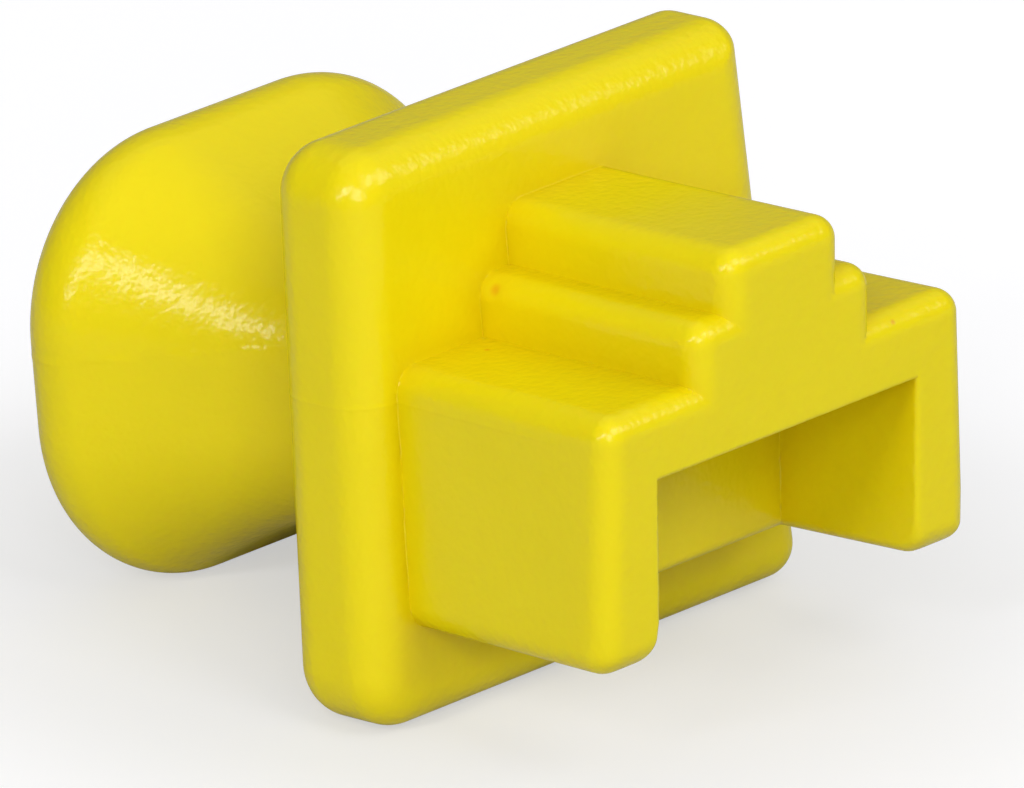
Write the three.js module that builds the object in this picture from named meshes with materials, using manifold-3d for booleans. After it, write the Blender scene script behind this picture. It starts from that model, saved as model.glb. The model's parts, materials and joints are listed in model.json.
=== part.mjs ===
// Dust plug for an 8P8C modular jack: a stepped hollow nose, a square stop flange and a flared pull knob,
// moulded in one shot. Millimetres, +Z up. The nose points along -Y, the knob along +Y.
// Inside this file, Y = 0 is the flange's front face (the face that stops on the jack) and Z = 0 is the
// flange's underside. The last lines move the part so that its origin is the bottom centre of its box.

import * as THREE from "three";
import { LoftGeometry } from "three/addons/geometries/LoftGeometry.js";
import { mergeVertices } from "three/addons/utils/BufferGeometryUtils.js";
import Module from "manifold-3d";

// Flange
const FLANGE_WIDTH_TOP = 12.8;
const FLANGE_WIDTH_BOTTOM = 14.1;
const FLANGE_HEIGHT = 13.6;
const FLANGE_THICKNESS = 3.0;
const FLANGE_TOP_CORNER_RADIUS = 1.1;
const FLANGE_BOTTOM_CORNER_RADIUS = 1.4;
const FLANGE_EDGE_RADIUS = 1.0;

// Nose: a base block with two steps on top, for the jack's latch keyway
const NOSE_LENGTH = 6.95;
const NOSE_BOTTOM = 2.4;
const BASE_TOP = 8.55;
const MIDDLE_TOP = 10.0;
const CREST_TOP = 11.45;
const BASE_WIDTH = 11.6;
const BASE_WIDTH_AT_FEET = 12.0;
const MIDDLE_WIDTH = 5.8;
const CREST_WIDTH = 3.75;
const NOSE_EDGE_RADIUS = 0.45;
const STEP_FILLET_RADIUS = 0.45;
const NOSE_RAKE = 0.095;
const ROOT_NARROWING = 0.04;

// Channel between the two legs, open at the end of the nose and underneath
const CHANNEL_WIDTH = 8.35;
const CHANNEL_ROOF = 6.75;
const CHANNEL_DEPTH = 4.75;
const CHANNEL_WALL_LEAN = 0.08;
const CHANNEL_CORNER_RADIUS = 0.3;

// Pull knob: rounded rectangular sections that flare from a neck to a rim
const NECK_WIDTH = 6.8;
const NECK_HEIGHT = 5.8;
const NECK_CORNER_RADIUS = 2.2;
const RIM_WIDTH = 12.75;
const RIM_HEIGHT = 10.65;
const RIM_CORNER_RADIUS = 4.3;
const RIM_ROUND = 1.35;
const RIM_FLARE_ANGLE = 0.8;
const KNOB_AXIS_Z = 6.2;
const KNOB_END = 12.05;

// Facets, and how far a corner radius stays above the bevel that insets it
const BEVEL_MARGIN = 0.05;
const CORNER_STEPS = 6;
const BEVEL_STEPS = 4;
const KNOB_CORNER_STEPS = 8;
const FLARE_STEPS = 14;
const ROUND_STEPS = 7;

// Overlaps that make joined solids fuse, and cutters run clear of the skin
const ROOT_OVERLAP = 1.2;
const CUT_CLEARANCE = 2;
const MERGE_DISTANCE = 1e-5;

const wasm = await Module();
wasm.setup();

// A closed three.js geometry as a solid that can be joined or cut.
function solid(geometry) {
  const bare = new THREE.BufferGeometry();
  bare.setAttribute("position", geometry.attributes.position);
  bare.setIndex(geometry.index);
  const merged = mergeVertices(bare, MERGE_DISTANCE);
  const mesh = new wasm.Mesh({
    numProp: 3,
    vertProperties: Float32Array.from(merged.attributes.position.array),
    triVerts: Uint32Array.from(merged.index.array),
  });
  return new wasm.Manifold(mesh);
}

// The other way: a solid as a three.js geometry.
function geometryOf(body) {
  const mesh = body.getMesh();
  const geometry = new THREE.BufferGeometry();
  geometry.setAttribute("position", new THREE.BufferAttribute(mesh.vertProperties, 3));
  geometry.setIndex(new THREE.BufferAttribute(mesh.triVerts, 1));
  geometry.computeVertexNormals();
  return geometry;
}

// A closed outline in X and Z with every corner rounded by its own radius: [x, z, radius].
function roundedOutline(corners) {
  const points = [];
  corners.forEach(([x, z, radius], index) => {
    const corner = new THREE.Vector2(x, z);
    const [beforeX, beforeZ] = corners[(index + corners.length - 1) % corners.length];
    const [afterX, afterZ] = corners[(index + 1) % corners.length];
    const toBefore = new THREE.Vector2(beforeX, beforeZ).sub(corner).normalize();
    const toAfter = new THREE.Vector2(afterX, afterZ).sub(corner).normalize();
    const halfAngle = Math.acos(THREE.MathUtils.clamp(toBefore.dot(toAfter), -1, 1)) / 2;
    const reach = radius / Math.tan(halfAngle);
    const start = corner.clone().addScaledVector(toBefore, reach);
    const end = corner.clone().addScaledVector(toAfter, reach);
    const bisector = toBefore.clone().add(toAfter).normalize();
    const centre = corner.clone().addScaledVector(bisector, radius / Math.sin(halfAngle));
    const first = start.clone().sub(centre).angle();
    let sweep = end.clone().sub(centre).angle() - first;
    if (sweep > Math.PI) sweep -= 2 * Math.PI;
    if (sweep < -Math.PI) sweep += 2 * Math.PI;
    for (let step = 0; step <= CORNER_STEPS; step += 1) {
      const angle = first + (sweep * step) / CORNER_STEPS;
      const spoke = new THREE.Vector2(Math.cos(angle), Math.sin(angle)).multiplyScalar(radius);
      points.push(spoke.add(centre));
    }
  });
  return points;
}

// Extrudes an X-Z outline between two Y places. The bevel rounds both ends inside those places.
function extrudeAlongY(points, backY, frontY, edgeRadius) {
  const geometry = new THREE.ExtrudeGeometry(new THREE.Shape(points), {
    depth: backY - frontY - 2 * edgeRadius,
    bevelEnabled: edgeRadius > 0,
    bevelThickness: edgeRadius,
    bevelSize: edgeRadius,
    bevelOffset: -edgeRadius,
    bevelSegments: BEVEL_STEPS,
    curveSegments: CORNER_STEPS,
  });
  geometry.rotateX(Math.PI / 2);
  geometry.translate(0, backY - edgeRadius, 0);
  return geometry;
}

// Moves every vertex with a rule that changes its x, y and z.
function reshape(geometry, rule) {
  const position = geometry.attributes.position;
  const point = new THREE.Vector3();
  for (let index = 0; index < position.count; index += 1) {
    point.fromBufferAttribute(position, index);
    rule(point);
    position.setXYZ(index, point.x, point.y, point.z);
  }
  return geometry;
}

function flange() {
  const bottom = FLANGE_WIDTH_BOTTOM / 2;
  const top = FLANGE_WIDTH_TOP / 2;
  const outline = roundedOutline([
    [-bottom, 0, FLANGE_BOTTOM_CORNER_RADIUS],
    [bottom, 0, FLANGE_BOTTOM_CORNER_RADIUS],
    [top, FLANGE_HEIGHT, FLANGE_TOP_CORNER_RADIUS],
    [-top, FLANGE_HEIGHT, FLANGE_TOP_CORNER_RADIUS],
  ]);
  return solid(extrudeAlongY(outline, FLANGE_THICKNESS, 0, FLANGE_EDGE_RADIUS));
}

// The nose narrows a little towards the flange, and its end leans back towards the feet.
function shapeNose(point) {
  const towardsRoot = THREE.MathUtils.clamp(1 + point.y / NOSE_LENGTH, 0, 1);
  point.x *= 1 - ROOT_NARROWING * towardsRoot;
  const ahead = Math.max(-point.y / NOSE_LENGTH, 0);
  point.y -= ahead * NOSE_RAKE * (point.z - BASE_TOP);
}

function nose() {
  const foot = BASE_WIDTH_AT_FEET / 2;
  const base = BASE_WIDTH / 2;
  const middle = MIDDLE_WIDTH / 2;
  const crest = CREST_WIDTH / 2;
  const inner = STEP_FILLET_RADIUS;
  const outer = NOSE_EDGE_RADIUS + BEVEL_MARGIN;
  const outline = roundedOutline([
    [-foot, NOSE_BOTTOM, outer],
    [foot, NOSE_BOTTOM, outer],
    [base, BASE_TOP, outer],
    [middle, BASE_TOP, inner],
    [middle, MIDDLE_TOP, outer],
    [crest, MIDDLE_TOP, inner],
    [crest, CREST_TOP, outer],
    [-crest, CREST_TOP, outer],
    [-crest, MIDDLE_TOP, inner],
    [-middle, MIDDLE_TOP, outer],
    [-middle, BASE_TOP, inner],
    [-base, BASE_TOP, outer],
  ]);
  const block = extrudeAlongY(outline, ROOT_OVERLAP, -NOSE_LENGTH, NOSE_EDGE_RADIUS);
  return solid(reshape(block, shapeNose));
}

function channel() {
  const half = CHANNEL_WIDTH / 2;
  const below = NOSE_BOTTOM - CUT_CLEARANCE;
  const outline = roundedOutline([
    [-half, below, CHANNEL_CORNER_RADIUS],
    [half, below, CHANNEL_CORNER_RADIUS],
    [half, CHANNEL_ROOF, CHANNEL_CORNER_RADIUS],
    [-half, CHANNEL_ROOF, CHANNEL_CORNER_RADIUS],
  ]);
  const backY = CHANNEL_DEPTH - NOSE_LENGTH;
  const cutter = extrudeAlongY(outline, backY, -NOSE_LENGTH - CUT_CLEARANCE, 0);
  const lean = (point) => {
    if (point.y > backY - CUT_CLEARANCE) point.y -= CHANNEL_WALL_LEAN * (point.z - NOSE_BOTTOM);
  };
  return solid(reshape(cutter, lean));
}

// One closed section of the knob, ordered so that the loft's faces point out.
function knobSection(y, halfWidth, halfHeight, cornerRadius) {
  const radius = Math.min(cornerRadius, halfHeight);
  const points = [];
  for (let quarter = 0; quarter < 4; quarter += 1) {
    const sideX = quarter === 0 || quarter === 3 ? 1 : -1;
    const sideZ = quarter < 2 ? 1 : -1;
    for (let step = 0; step <= KNOB_CORNER_STEPS; step += 1) {
      const angle = (quarter + step / KNOB_CORNER_STEPS) * (Math.PI / 2);
      const x = sideX * (halfWidth - radius) + radius * Math.cos(angle);
      const z = sideZ * (halfHeight - radius) + radius * Math.sin(angle);
      points.push(new THREE.Vector3(x, y, KNOB_AXIS_Z + z));
    }
  }
  return points.reverse();
}

// A smooth curve from a level start value to an end value with a given end slope.
function flareValue(share, start, end, endSlope) {
  const rise = share * share * (3 - 2 * share);
  const lead = share * share * (share - 1);
  return start + (end - start) * rise + endSlope * lead;
}

function knob() {
  const rimHalfWidth = RIM_WIDTH / 2;
  const rimHalfHeight = RIM_HEIGHT / 2;
  const arcCentreY = KNOB_END - RIM_ROUND;
  const tangentY = arcCentreY - RIM_ROUND * Math.sin(RIM_FLARE_ANGLE);
  const tangentDrop = RIM_ROUND * (1 - Math.cos(RIM_FLARE_ANGLE));
  const flareLength = tangentY - FLANGE_THICKNESS;
  const endSlope = flareLength * Math.tan(RIM_FLARE_ANGLE);
  const sections = [];
  const buriedY = FLANGE_THICKNESS - ROOT_OVERLAP;
  sections.push(knobSection(buriedY, NECK_WIDTH / 2, NECK_HEIGHT / 2, NECK_CORNER_RADIUS));
  for (let step = 0; step < FLARE_STEPS; step += 1) {
    const share = step / FLARE_STEPS;
    const halfWidth = flareValue(share, NECK_WIDTH / 2, rimHalfWidth - tangentDrop, endSlope);
    const halfHeight = flareValue(share, NECK_HEIGHT / 2, rimHalfHeight - tangentDrop, endSlope);
    const endRadius = RIM_CORNER_RADIUS - tangentDrop;
    const cornerRadius = NECK_CORNER_RADIUS + (endRadius - NECK_CORNER_RADIUS) * share * share;
    sections.push(knobSection(FLANGE_THICKNESS + flareLength * share, halfWidth, halfHeight, cornerRadius));
  }
  for (let step = 0; step <= ROUND_STEPS; step += 1) {
    const angle = -RIM_FLARE_ANGLE + ((Math.PI / 2 + RIM_FLARE_ANGLE) * step) / ROUND_STEPS;
    const inset = RIM_ROUND * (1 - Math.cos(angle));
    const y = arcCentreY + RIM_ROUND * Math.sin(angle);
    sections.push(knobSection(y, rimHalfWidth - inset, rimHalfHeight - inset, RIM_CORNER_RADIUS - inset));
  }
  return solid(new LoftGeometry(sections, { capStart: true, capEnd: true }));
}

const body = flange().add(nose()).add(knob()).subtract(channel());
const geometry = geometryOf(body);
geometry.computeBoundingBox();
const centreY = (geometry.boundingBox.min.y + geometry.boundingBox.max.y) / 2;
geometry.translate(0, -centreY, -geometry.boundingBox.min.z);

const yellowPlastic = new THREE.MeshStandardMaterial({ color: 0xe2d51c, roughness: 0.45, metalness: 0 });
const dustPlug = new THREE.Mesh(geometry, yellowPlastic);
dustPlug.name = "dust_plug";

const part = new THREE.Group();
part.add(dustPlug);

export default part;
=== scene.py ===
"""Looks for the modular jack dust plug: one moulded piece of yellow plastic, a pale floor and soft studio light.

The plug's skin is a signed distance field in millimetres, turned into a mesh here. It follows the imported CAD
node's sizes. It differs in its small radii, its sharp inner corners, a fuller flare on the knob and squarer right
corners, and it adds the parting line and the gate marks.
"""

import json
import math

import bpy
import numpy as np
from mathutils import Matrix, Vector


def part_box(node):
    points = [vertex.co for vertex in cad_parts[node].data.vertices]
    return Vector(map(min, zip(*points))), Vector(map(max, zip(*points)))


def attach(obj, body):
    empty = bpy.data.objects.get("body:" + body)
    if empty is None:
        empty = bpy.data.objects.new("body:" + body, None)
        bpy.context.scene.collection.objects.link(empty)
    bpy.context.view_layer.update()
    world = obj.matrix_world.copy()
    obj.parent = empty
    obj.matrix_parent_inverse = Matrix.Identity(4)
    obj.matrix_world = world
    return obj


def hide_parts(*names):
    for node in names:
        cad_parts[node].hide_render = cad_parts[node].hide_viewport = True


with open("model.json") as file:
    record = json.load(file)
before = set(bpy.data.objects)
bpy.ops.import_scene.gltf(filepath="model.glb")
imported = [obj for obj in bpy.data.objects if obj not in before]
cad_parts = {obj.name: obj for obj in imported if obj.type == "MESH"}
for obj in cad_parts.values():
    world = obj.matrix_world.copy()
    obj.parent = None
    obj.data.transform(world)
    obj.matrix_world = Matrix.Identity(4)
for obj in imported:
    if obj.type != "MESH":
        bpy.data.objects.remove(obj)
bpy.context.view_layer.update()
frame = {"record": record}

MM = 0.001

# ---------------------------------------------------------------- places from the record, in millimetres
MOUNTS = {m["name"]: [value / MM for value in m["pos_m"]] for m in frame["record"]["mounts"]}
STOP_Y = MOUNTS["stop_face"][1]
CREST_Z = MOUNTS["crest_face"][2]
FEET_Z = MOUNTS["left_leg_face"][2]
NODE_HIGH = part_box("dust_plug")[1]
KNOB_END_Y = NODE_HIGH.y / MM
FLANGE_TOP_Z = NODE_HIGH.z / MM
ROUNDED_AWAY = 0.07  # the flange's sides would meet its foot this far outside the box, were its corners sharp
FLANGE_FOOT_HALF = NODE_HIGH.x / MM + ROUNDED_AWAY

# ---------------------------------------------------------------- sizes, in millimetres
# A pair holds the left side's size and the right side's. A slope or an angle has no unit or is in radians.
FLANGE_TOP_HALF = 6.4
FLANGE_THICKNESS = 3.0
FLANGE_TOP_CORNERS = (1.2, 0.7)
FLANGE_FOOT_CORNERS = (1.4, 0.9)
FLANGE_EDGE = 1.05
FLANGE_FOOT_EDGE = 0.9
FLANGE_BACK_EDGE = 1.05
FLANGE_FOOT_REACH = 3
NOSE_LENGTH = 6.95
NOSE_RAKE = 0.095
NOSE_NARROWING = 0.04
NOSE_EDGE = 0.6
BASE_HALF = 5.8
FOOT_HALF = 6.0
BASE_Z = 8.55
MIDDLE_HALF = 2.9
MIDDLE_Z = 10.0
CREST_HALF = 1.875
FOOT_DROP = 0.08
FOOT_EDGES = (0.7, 0.5)
FOOT_END = 0.7
FOOT_INNER_EDGE = 0.45
FOOT_REACH = 1.2
STEPS_START = 1
CHANNEL_HALF = 4.175
CHANNEL_ROOF_Z = 6.75
CHANNEL_DEPTH = 4.75
CHANNEL_LEAN = 0.08
CHANNEL_NARROWING = 0.2
CHANNEL_LIP = 0.1
NECK_HALF_WIDTH = 3.35
NECK_HALF_HEIGHT = 2.87
NECK_CORNER = 2.2
NECK_FILLET = 0.45
RIM_HALF_WIDTH = 6.33
RIM_HALF_HEIGHT = 5.32
RIM_CORNER = 4.3
RIM_ROUND = 1.3
RIM_FLARE_ANGLE = 0.58
KNOB_Z = 6.2
PARTING_Z = 7.8
PARTING_FALL = 0.9
PARTING_HEIGHT = 0.012
PARTING_WIDTH = 0.055
GATE_PLACE = (-2.7, -0.4, 9.73)
GATE_RADIUS = 0.22
GATE_DEPTH = 0.05
SPECK_PLACES = ((-3.4, -0.75, 8.55), (3.5, -6.82, 8.31))
SPECK_RADIUS = 0.11
# How far out from the skin the painted shade in creases looks for nearby skin.
PAINTED_SHADE_REACHES = (0.7, 1.7, 3.4)
KNOB_START = 1

# ---------------------------------------------------------------- how the mesh follows the field
GRADIENT_REACH = 0.01
LEAST_SLOPE_SQUARED = 0.05
CREASE_STRENGTH = 0.1
CREASE_LARGEST_SHIFT = 0.2
CREASE_ANGLE = math.radians(12)
CREASE_INSET = 0.4
SETTLE_ROUNDS = 4
EVEN_ROUNDS = 3
EVEN_SHARE = 0.4
GRID_SHIFT = 0.013


def round_cut(a, b, radius):
    """The part inside both fields, with the outer edge between them rounded."""
    corner = np.hypot(np.maximum(radius + a, 0), np.maximum(radius + b, 0))
    return np.minimum(-radius, np.maximum(a, b)) + corner


def round_join(a, b, radius):
    """The part inside either field, with the inner corner between them filleted."""
    corner = np.hypot(np.maximum(radius - a, 0), np.maximum(radius - b, 0))
    return np.maximum(radius, np.minimum(a, b)) - corner


def rounded_box(x, z, half_x, half_z, corner):
    """Distance to a rounded rectangle about the origin."""
    away_x = np.abs(x) - (half_x - corner)
    away_z = np.abs(z) - (half_z - corner)
    outside = np.hypot(np.maximum(away_x, 0), np.maximum(away_z, 0))
    return outside + np.minimum(np.maximum(away_x, away_z), 0) - corner


def flange_field(x, y, z):
    slope = (FLANGE_FOOT_HALF - FLANGE_TOP_HALF) / FLANGE_TOP_Z
    side = (np.abs(x) - FLANGE_FOOT_HALF + slope * z) / math.hypot(1, slope)
    outline = round_cut(side, z - FLANGE_TOP_Z, np.where(x < 0, *FLANGE_TOP_CORNERS))
    outline = round_cut(outline, -z, np.where(x < 0, *FLANGE_FOOT_CORNERS))
    low = np.clip(1 - z / FLANGE_FOOT_REACH, 0, 1)
    front = round_cut(outline, -y, FLANGE_EDGE + (FLANGE_FOOT_EDGE - FLANGE_EDGE) * low)
    return round_cut(front, y - FLANGE_THICKNESS, FLANGE_BACK_EDGE)


def nose_field(x, y, z):
    towards_root = np.clip(1 + y / NOSE_LENGTH, 0, 1)
    across = np.abs(x) / (1 - NOSE_NARROWING * towards_root)
    splay = (FOOT_HALF - BASE_HALF) / (BASE_Z - FEET_Z)
    side = (across - BASE_HALF + splay * (z - BASE_Z)) / math.hypot(1, splay)
    base = round_cut(side, z - BASE_Z, NOSE_EDGE)
    base = round_cut(base, FEET_Z - FOOT_DROP - z, np.where(x < 0, *FOOT_EDGES))
    middle = round_cut(across - MIDDLE_HALF, z - MIDDLE_Z, NOSE_EDGE)
    middle = np.maximum(middle, FEET_Z + STEPS_START - z)
    crest = round_cut(across - CREST_HALF, z - CREST_Z, NOSE_EDGE)
    crest = np.maximum(crest, FEET_Z + STEPS_START - z)
    section = np.minimum(np.minimum(base, middle), crest)
    end = (-NOSE_LENGTH - NOSE_RAKE * (z - BASE_Z) - y) / math.hypot(1, NOSE_RAKE)
    low = np.clip((FEET_Z + FOOT_REACH - z) / FOOT_REACH, 0, 1)
    end = np.maximum(end, y - FLANGE_THICKNESS / 2)
    block = round_cut(section, end, NOSE_EDGE + (FOOT_END - NOSE_EDGE) * low)
    back_y = CHANNEL_DEPTH - NOSE_LENGTH - CHANNEL_LEAN * (z - FEET_Z)
    inward = CHANNEL_NARROWING * np.clip(1 + (y + NOSE_LENGTH - CHANNEL_DEPTH) / CHANNEL_DEPTH, 0, 1)
    hollow = np.maximum(np.abs(x) - CHANNEL_HALF + inward, z - CHANNEL_ROOF_Z)
    hollow = np.maximum(hollow, (y - back_y) / math.hypot(1, CHANNEL_LEAN))
    return round_cut(block, -hollow, CHANNEL_LIP + (FOOT_INNER_EDGE - CHANNEL_LIP) * low * low)


def flare(share, start, end, end_slope):
    """A smooth curve from a level start to an end value with a given end slope."""
    rise = share * share * (3 - 2 * share)
    return start + (end - start) * rise + end_slope * share * share * (share - 1)


def knob_field(x, y, z, knob_end):
    arc_y = knob_end - RIM_ROUND
    tangent_y = arc_y - RIM_ROUND * math.sin(RIM_FLARE_ANGLE)
    drop = RIM_ROUND * (1 - math.cos(RIM_FLARE_ANGLE))
    length = tangent_y - FLANGE_THICKNESS
    share = np.clip((y - FLANGE_THICKNESS) / length, 0, 1)
    end_slope = length * math.tan(RIM_FLARE_ANGLE)
    half_width = flare(share, NECK_HALF_WIDTH, RIM_HALF_WIDTH - drop, end_slope)
    half_height = flare(share, NECK_HALF_HEIGHT, RIM_HALF_HEIGHT - drop, end_slope)
    corner = NECK_CORNER + (RIM_CORNER - drop - NECK_CORNER) * share * share
    side = rounded_box(x, z - KNOB_Z, half_width, half_height, corner)
    step = 1e-3
    wider = flare(np.clip(share + step, 0, 1), NECK_HALF_WIDTH, RIM_HALF_WIDTH - drop, end_slope)
    slope = (wider - half_width) / (step * length)
    side = np.maximum(side / np.hypot(1, slope), np.maximum(y - tangent_y, KNOB_START - y))
    core_width = RIM_HALF_WIDTH - RIM_ROUND
    core_height = RIM_HALF_HEIGHT - RIM_ROUND
    pad = rounded_box(x, z - KNOB_Z, core_width, core_height, RIM_CORNER - RIM_ROUND)
    rim = np.hypot(np.maximum(pad, 0), y - arc_y) - RIM_ROUND
    return np.minimum(side, rim)


def plug_field(x, y, z):
    """Signed distance to the plug's skin, in millimetres, in the part's frame."""
    local = y - STOP_Y
    knob_end = KNOB_END_Y - STOP_Y
    body = flange_field(x, local, z)
    body = np.minimum(body, nose_field(x, local, z))
    body = round_join(body, knob_field(x, local, z, knob_end), NECK_FILLET)
    along_knob = np.clip(local - FLANGE_THICKNESS, 0, None)
    parting = PARTING_Z - PARTING_FALL * along_knob / (knob_end - FLANGE_THICKNESS)
    witness = PARTING_HEIGHT * np.exp(-(((z - parting) / PARTING_WIDTH) ** 2))
    witness = witness * np.clip(local + NOSE_LENGTH - 2 * NOSE_EDGE, 0, 1)
    apart = (x - GATE_PLACE[0]) ** 2 + (local - GATE_PLACE[1]) ** 2 + (z - GATE_PLACE[2]) ** 2
    return body - witness + GATE_DEPTH * np.exp(-apart / GATE_RADIUS ** 2)


# ---------------------------------------------------------------- from the field to a mesh
def grid_lines(start, *runs):
    """Grid places from start, in runs of (end, spacing)."""
    places = [start]
    for end, spacing in runs:
        run_start = places[-1]
        count = max(1, round((end - run_start) / spacing))
        places += [run_start + (end - run_start) * (i + 1) / count for i in range(count)]
    return np.array(places)


def gradient(points):
    """The field's gradient at each point, by central differences."""
    sides = []
    for axis in range(3):
        offset = np.zeros(3)
        offset[axis] = GRADIENT_REACH
        ahead = plug_field(*(points + offset).T)
        behind = plug_field(*(points - offset).T)
        sides.append((ahead - behind) / (2 * GRADIENT_REACH))
    return np.stack(sides, axis=1)


def onto_surface(points, rounds):
    """Moves points along the gradient until they lie on the field's zero surface."""
    for _ in range(rounds):
        slope = gradient(points)
        squared = np.maximum((slope * slope).sum(axis=1), LEAST_SLOPE_SQUARED)
        points = points - slope * (plug_field(*points.T) / squared)[:, None]
    return points


def evened(points, quads, fixed, rounds, share):
    """Spreads the points evenly over the surface, so that the faces have similar sizes. Fixed points stay."""
    free = np.where(fixed, 0.0, share)[:, None]
    ends = np.concatenate([quads[:, [a, (a + 1) % 4]] for a in range(4)])
    count = np.bincount(ends[:, 0], minlength=len(points)) + np.bincount(ends[:, 1], minlength=len(points))
    for _ in range(rounds):
        middle = np.zeros_like(points)
        for axis in range(3):
            middle[:, axis] = np.bincount(ends[:, 0], points[ends[:, 1], axis], len(points))
            middle[:, axis] += np.bincount(ends[:, 1], points[ends[:, 0], axis], len(points))
        points = points + free * (middle / count[:, None] - points)
        points[~fixed] = onto_surface(points[~fixed], 1)
    return points


def surface_net(xs, ys, zs):
    """One point in every grid cell that the surface crosses, and one quad for every grid edge that it crosses."""
    axes = (xs, ys, zs)
    values = plug_field(xs[:, None, None], ys[None, :, None], zs[None, None, :])
    cells = tuple(len(places) - 1 for places in axes)
    crossings, around, flips = [], [], []
    for axis in range(3):
        low = [slice(None)] * 3
        high = [slice(None)] * 3
        low[axis] = slice(None, -1)
        high[axis] = slice(1, None)
        start, end = values[tuple(low)], values[tuple(high)]
        edge = np.nonzero((start < 0) != (end < 0))
        share = start[edge] / (start[edge] - end[edge])
        place = np.stack([axes[i][edge[i]] for i in range(3)], axis=1)
        place[:, axis] += share * (axes[axis][edge[axis] + 1] - axes[axis][edge[axis]])
        crossings.append(place)
        second, third = (axis + 1) % 3, (axis + 2) % 3
        ring = []
        for back_second, back_third in ((1, 1), (0, 1), (0, 0), (1, 0)):
            cell = [edge[0], edge[1], edge[2]]
            cell[second] = cell[second] - back_second
            cell[third] = cell[third] - back_third
            ring.append(np.ravel_multi_index(cell, cells))
        around.append(np.stack(ring, axis=1))
        flips.append(start[edge] >= 0)
    crossings, around, flips = np.concatenate(crossings), np.concatenate(around), np.concatenate(flips)
    used, quads = np.unique(around, return_inverse=True)
    quads = quads.reshape(around.shape)
    quads[flips] = quads[flips][:, ::-1]
    points, creased = settled(crossings, np.where(flips[:, None], quads[:, ::-1], quads), len(used))
    return points, quads, creased


def settled(crossings, rings, total):
    """Places each cell's point where the skin's tangent planes in that cell meet, so that creases stay sharp."""
    cell = rings.ravel()
    count = np.bincount(cell, minlength=total)

    def summed(values):
        return np.bincount(cell, np.repeat(values, 4), total)

    middle = np.stack([summed(crossings[:, axis]) / count for axis in range(3)], axis=1)
    normals = gradient(crossings)
    normals /= np.linalg.norm(normals, axis=1)[:, None]
    reach = (normals * crossings).sum(axis=1)
    spread = np.empty((total, 3, 3))
    pull = np.empty((total, 3))
    for row in range(3):
        for column in range(3):
            spread[:, row, column] = summed(normals[:, row] * normals[:, column])
        pull[:, row] = summed(normals[:, row] * reach)
    pull -= np.einsum("nij,nj->ni", spread, middle)
    strength, directions = np.linalg.eigh(spread)
    kept = strength > CREASE_STRENGTH * strength[:, 2:]
    shift = np.einsum("nji,nj->ni", directions, pull) * kept / np.where(kept, strength, 1)
    shift = np.einsum("nij,nj->ni", directions, shift)
    creased = kept[:, 1] & (np.linalg.norm(shift, axis=1) < CREASE_LARGEST_SHIFT)
    return np.where(creased[:, None], middle + shift, middle), creased


def corner_normals(points, quads, creased):
    """A normal for each corner of each quad: smooth over the skin, and split where a crease runs."""
    normals = gradient(points)
    normals /= np.linalg.norm(normals, axis=1)[:, None]
    corners = normals[quads]
    sharp = creased[quads].any(axis=1)
    centres = points[quads[sharp]].mean(axis=1, keepdims=True)
    inside = (points[quads[sharp]] * (1 - CREASE_INSET) + centres * CREASE_INSET).reshape(-1, 3)
    own = gradient(inside)
    own /= np.linalg.norm(own, axis=1)[:, None]
    own = own.reshape(-1, 4, 3)
    alike = (own * corners[sharp]).sum(axis=2, keepdims=True) > math.cos(CREASE_ANGLE)
    corners[sharp] = np.where(alike, corners[sharp], own)
    return corners.reshape(-1, 3)


def crease_depth_for_painted_shade(points):
    """How deep in an inner corner each point lies, which sets the painted shade: 0 on open skin, towards 1 at the
    bottom of a crease.
    """
    normals = gradient(points)
    normals /= np.linalg.norm(normals, axis=1)[:, None]
    clear = [np.clip(plug_field(*(points + reach * normals).T) / reach, 0, 1) for reach in PAINTED_SHADE_REACHES]
    return 1 - sum(clear) / len(clear)


def grid():
    """Grid places across the plug, close together where it has small radii, and shifted off its mirror plane."""
    half = grid_lines(
        0.0, (1.45, 0.18), (2.2, 0.085), (2.6, 0.13), (3.3, 0.09), (3.95, 0.14),
        (4.4, 0.075), (5.3, 0.16), (7.2, 0.095),
    )
    xs = np.concatenate([-half[:0:-1], half]) + GRID_SHIFT
    ys = STOP_Y + grid_lines(
        -7.4, (-6.2, 0.085), (-2.8, 0.18), (-1.95, 0.1), (-0.5, 0.17), (1.1, 0.08),
        (1.9, 0.15), (3.7, 0.09), (9.6, 0.17), (12.2, 0.1),
    )
    zs = grid_lines(
        -0.12, (1.5, 0.1), (2.2, 0.16), (2.9, 0.085), (6.4, 0.17), (7.0, 0.085), (7.6, 0.14),
        (8.0, 0.045), (9.2, 0.095), (9.7, 0.13), (10.3, 0.095), (11.0, 0.13), (11.7, 0.095),
        (12.3, 0.15), (13.75, 0.1),
    )
    return xs, ys, zs


def plug_piece():
    points, quads, creased = surface_net(*grid())
    points[~creased] = onto_surface(points[~creased], SETTLE_ROUNDS)
    points = evened(points, quads, creased, EVEN_ROUNDS, EVEN_SHARE)
    mesh = bpy.data.meshes.new("plug_skin")
    mesh.from_pydata((points * MM).tolist(), [], quads.tolist())
    mesh.polygons.foreach_set("use_smooth", np.ones(len(quads), dtype=bool))
    mesh.normals_split_custom_set(corner_normals(points, quads, creased).tolist())
    # The hollow attribute carries painted shade: it darkens the colour in creases and inner corners.
    mesh.attributes.new("hollow", "FLOAT", "POINT").data.foreach_set("value", crease_depth_for_painted_shade(points))
    mesh.update()
    piece = bpy.data.objects.new("plug_skin", mesh)
    bpy.context.scene.collection.objects.link(piece)
    return piece


# ---------------------------------------------------------------- camera, made first; angles in degrees
VIEW_AZIMUTH = -43.553
VIEW_ELEVATION = 18.229
VIEW_ROLL = -4.679
VIEW_DISTANCE = 0.50158
VIEW_TARGET = Vector((-0.03, -0.33, 6.01)) * MM
VIEW_LENS = 774.0


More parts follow.
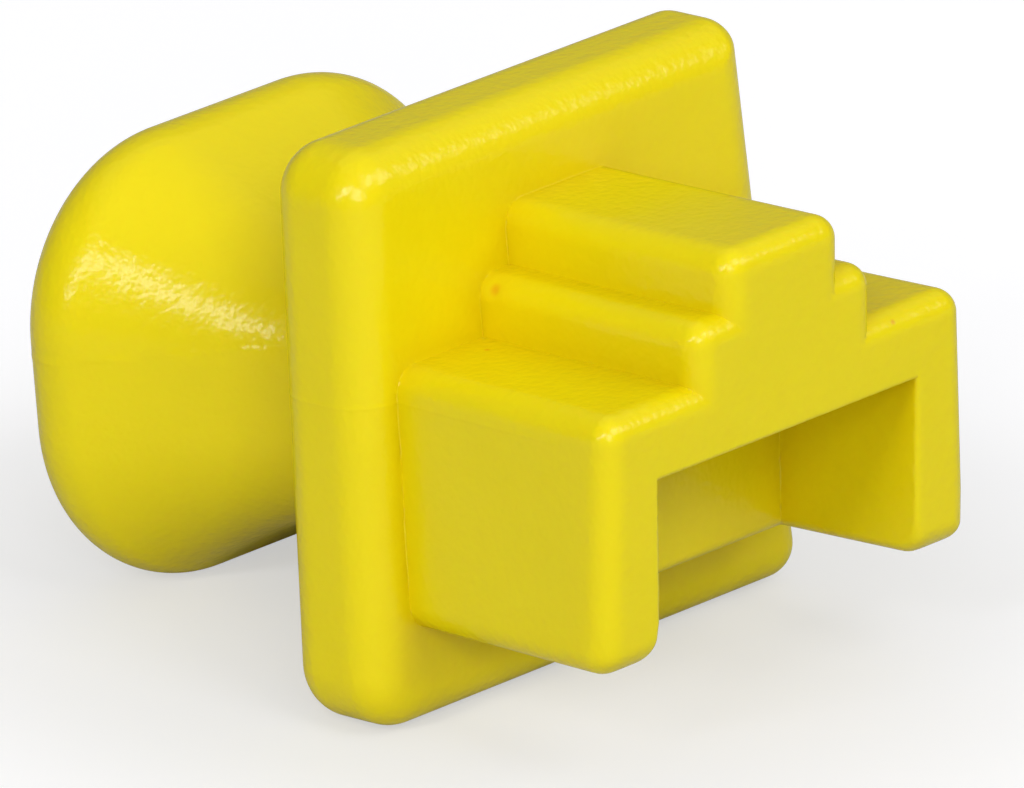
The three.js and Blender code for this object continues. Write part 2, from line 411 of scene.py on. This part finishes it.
def make_camera():
    azimuth, elevation = math.radians(VIEW_AZIMUTH), math.radians(VIEW_ELEVATION)
    level = math.cos(elevation)
    back = Vector((math.sin(azimuth) * level, -math.cos(azimuth) * level, math.sin(elevation)))
    data = bpy.data.cameras.new("camera")
    data.lens = VIEW_LENS
    data.clip_start = 0.01
    data.clip_end = 10
    camera = bpy.data.objects.new("camera", data)
    bpy.context.scene.collection.objects.link(camera)
    upright = (-back).to_track_quat("-Z", "Y").to_matrix()
    roll = Matrix.Rotation(math.radians(VIEW_ROLL), 3, "Z")
    camera.matrix_world = Matrix.Translation(VIEW_TARGET + back * VIEW_DISTANCE) @ (upright @ roll).to_4x4()
    bpy.context.scene.camera = camera


# ---------------------------------------------------------------- materials
YELLOW_DARKER = (0.815, 0.668, 0.002, 1)
YELLOW_LIGHTER = (0.845, 0.698, 0.003, 1)
# Painted shade: the yellow deep in creases and inner corners.
YELLOW_WITH_PAINTED_SHADE = (0.755, 0.585, 0.001, 1)
MARK_RED = (0.72, 0.33, 0.004, 1)
MARK_STRENGTH = 0.8
FLOOR_DARKER = (0.37, 0.37, 0.39, 1)
FLOOR_LIGHTER = (0.39, 0.39, 0.41, 1)
FLOOR_FOR_BOUNCES = (0.55, 0.55, 0.55, 1)
# Painted shadow on the floor: its glow is dimmer near the plug and rises between 6 mm and 22 mm away.
GLOW_STARTS, GLOW_FULL = 6 * MM, 22 * MM
FLOOR_GLOW_IN_PAINTED_SHADOW, GLOW_FAR = 0.52, 0.69


class Nodes:
    """Short calls for building one material's nodes."""

    def __init__(self, name):
        self.material = bpy.data.materials.new(name)
        self.material.use_nodes = True
        self.tree = self.material.node_tree
        self.shader = self.tree.nodes["Principled BSDF"]

    def add(self, kind, settings=None, **inputs):
        node = self.tree.nodes.new(kind)
        for name, value in (settings or {}).items():
            setattr(node, name, value)
        for name, value in inputs.items():
            self.feed(node.inputs[name.replace("_", " ")], value)
        return node

    def feed(self, socket, value):
        if isinstance(value, bpy.types.NodeSocket):
            self.tree.links.new(value, socket)
        else:
            socket.default_value = value

    def math(self, operation, first, second=0.0, third=0.0):
        node = self.tree.nodes.new("ShaderNodeMath")
        node.operation = operation
        for socket, value in zip(node.inputs, (first, second, third)):
            self.feed(socket, value)
        return node.outputs[0]

    def mix(self, share, first, second):
        node = self.tree.nodes.new("ShaderNodeMix")
        node.data_type = "RGBA"
        self.feed(node.inputs["Factor"], share)
        self.feed(node.inputs["A"], first)
        self.feed(node.inputs["B"], second)
        return node.outputs["Result"]

    def near(self, place, centre, radius):
        """MARK_STRENGTH at the centre, which is given from the stop face along y, falling to 0 at the radius."""
        apart = self.tree.nodes.new("ShaderNodeVectorMath")
        apart.operation = "DISTANCE"
        self.feed(apart.inputs[0], place)
        self.feed(apart.inputs[1], (centre[0] * MM, (centre[1] + STOP_Y) * MM, centre[2] * MM))
        fade = self.add("ShaderNodeMapRange", {"interpolation_type": "SMOOTHSTEP"}, Value=apart.outputs["Value"])
        self.feed(fade.inputs["From Max"], radius * MM)
        self.feed(fade.inputs["To Min"], MARK_STRENGTH)
        self.feed(fade.inputs["To Max"], 0.0)
        return fade.outputs["Result"]


def yellow_plastic():
    """Satin yellow plastic: a little cloudy, with fine grain, reddish marks where the mould's gate was, and
    painted shade in its creases.
    """
    n = Nodes("yellow_plastic")
    place = n.add("ShaderNodeTexCoord").outputs["Object"]
    cloud = n.add("ShaderNodeTexNoise", Vector=place, Scale=350.0, Detail=3.0, Roughness=0.5)
    grain = n.add("ShaderNodeTexNoise", Vector=place, Scale=5000.0, Detail=1.0, Roughness=0.5)
    orange_peel = n.add("ShaderNodeTexNoise", Vector=place, Scale=1700.0, Detail=2.0, Roughness=0.5)
    colour = n.mix(cloud.outputs["Fac"], YELLOW_DARKER, YELLOW_LIGHTER)
    # Painted shade: the yellow turns darker and more orange deep in creases and inner corners.
    hollow = n.add("ShaderNodeAttribute", {"attribute_name": "hollow"}).outputs["Fac"]
    colour = n.mix(hollow, colour, YELLOW_WITH_PAINTED_SHADE)
    for centre, radius in [(GATE_PLACE, GATE_RADIUS)] + [(spot, SPECK_RADIUS) for spot in SPECK_PLACES]:
        colour = n.mix(n.near(place, centre, radius), colour, MARK_RED)
    n.feed(n.shader.inputs["Base Color"], colour)
    n.feed(n.shader.inputs["Roughness"], n.math("MULTIPLY_ADD", cloud.outputs["Fac"], 0.08, 0.18))
    height = n.math("MULTIPLY_ADD", grain.outputs["Fac"], 1.2, orange_peel.outputs["Fac"])
    bump = n.add("ShaderNodeBump", Strength=1.0, Distance=0.000013, Height=height)
    n.feed(n.shader.inputs["Normal"], bump.outputs["Normal"])
    n.shader.inputs["IOR"].default_value = 1.5
    n.shader.inputs["Specular IOR Level"].default_value = 0.3
    n.shader.inputs["Subsurface Weight"].default_value = 0.2
    n.shader.inputs["Subsurface Radius"].default_value = (1.0, 0.6, 0.08)
    n.shader.inputs["Subsurface Scale"].default_value = 0.0008
    return n.material


def pale_floor():
    """A pale floor that the camera sees brighter than it lights the plug, with a painted shadow: it glows dimmer
    near the plug.
    """
    n = Nodes("pale_floor")
    place = n.add("ShaderNodeTexCoord").outputs["Object"]
    cloud = n.add("ShaderNodeTexNoise", Vector=place, Scale=30.0, Detail=2.0)
    shown = n.mix(cloud.outputs["Fac"], FLOOR_DARKER, FLOOR_LIGHTER)
    seen = n.tree.nodes.new("ShaderNodeLightPath").outputs["Is Camera Ray"]
    n.feed(n.shader.inputs["Base Color"], n.mix(seen, FLOOR_FOR_BOUNCES, shown))
    n.shader.inputs["Emission Color"].default_value = (1, 1, 1, 1)
    apart = n.tree.nodes.new("ShaderNodeVectorMath")
    apart.operation = "LENGTH"
    n.feed(apart.inputs[0], place)
    # Painted shadow: the glow that the camera sees is dimmer near the plug.
    glow = n.add("ShaderNodeMapRange", {"interpolation_type": "SMOOTHSTEP"}, Value=apart.outputs["Value"])
    n.feed(glow.inputs["From Min"], GLOW_STARTS)
    n.feed(glow.inputs["From Max"], GLOW_FULL)
    n.feed(glow.inputs["To Min"], FLOOR_GLOW_IN_PAINTED_SHADOW)
    n.feed(glow.inputs["To Max"], GLOW_FAR)
    n.feed(n.shader.inputs["Emission Strength"], n.math("MULTIPLY", seen, glow.outputs["Result"]))
    n.shader.inputs["Roughness"].default_value = 0.8
    return n.material


# ---------------------------------------------------------------- floor and light
FLOOR_HALF = 0.4
KNOB_BEHIND_Y = 2 * MM
STEEPEST_TILT = 0.3
TILT_HALVINGS = 40
LIGHT_DISTANCE = 0.5
WORLD_STRENGTH = 0.2


def resting_plane(points):
    """The plane that the plug tips back onto: it touches the flange's foot and the knob's rim."""
    front = points[points[:, 1] < KNOB_BEHIND_Y]
    rear = points[points[:, 1] >= KNOB_BEHIND_Y]
    low, high = 0.0, STEEPEST_TILT
    for _ in range(TILT_HALVINGS):
        tilt = (low + high) / 2
        normal = np.array([0, -math.sin(tilt), math.cos(tilt)])
        if (rear @ normal).min() > (front @ normal).min():
            low = tilt
        else:
            high = tilt
    return tilt, (front @ normal).min()


def make_floor(piece):
    points = np.empty(len(piece.data.vertices) * 3)
    piece.data.vertices.foreach_get("co", points)
    tilt, height = resting_plane(points.reshape(-1, 3))
    mesh = bpy.data.meshes.new("floor")
    corners = [(x * FLOOR_HALF, y * FLOOR_HALF, 0) for x, y in ((-1, -1), (1, -1), (1, 1), (-1, 1))]
    mesh.from_pydata(corners, [], [(0, 1, 2, 3)])
    floor = bpy.data.objects.new("floor", mesh)
    bpy.context.scene.collection.objects.link(floor)
    normal = Vector((0, -math.sin(tilt), math.cos(tilt)))
    floor.rotation_euler = (tilt, 0, 0)
    floor.location = normal * height
    floor.data.materials.append(pale_floor())


def make_light(name, azimuth, elevation, power, width, height, roll=0.0):
    """A soft rectangular light, aimed at the plug. Angles are in degrees, as the camera's are."""
    a, e = math.radians(azimuth), math.radians(elevation)
    back = Vector((math.sin(a) * math.cos(e), -math.cos(a) * math.cos(e), math.sin(e)))
    data = bpy.data.lights.new(name, "AREA")
    data.shape = "RECTANGLE"
    data.size = width
    data.size_y = height
    data.energy = power
    light = bpy.data.objects.new(name, data)
    bpy.context.scene.collection.objects.link(light)
    aim = back.to_track_quat("Z", "Y").to_matrix() @ Matrix.Rotation(math.radians(roll), 3, "Z")
    place = back * LIGHT_DISTANCE + Vector((0, 0, KNOB_Z * MM))
    light.matrix_world = Matrix.Translation(place) @ aim.to_4x4()
    light.visible_camera = False


def make_world():
    world = bpy.data.worlds.new("studio")
    bpy.context.scene.world = world
    world.use_nodes = True
    background = world.node_tree.nodes["Background"]
    background.inputs["Color"].default_value = (1, 1, 1, 1)
    background.inputs["Strength"].default_value = WORLD_STRENGTH


make_camera()
piece = plug_piece()
piece.data.materials.append(yellow_plastic())
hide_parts("dust_plug")
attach(piece, "root")
make_floor(piece)
make_world()
make_light("flash", -38, 21, 0.75, 0.2, 0.2)
make_light("left_strip", -76, 29, 0.8, 0.34, 0.04, 34)
make_light("key_lamp", -5, 42, 0.56, 0.2, 0.2)
make_light("right_lamp", 32, 32, 0.47, 0.2, 0.2)
make_light("top_lamp", 50, 80, 0.57, 0.8, 0.8)
bpy.context.scene.view_settings.view_transform = "Standard"
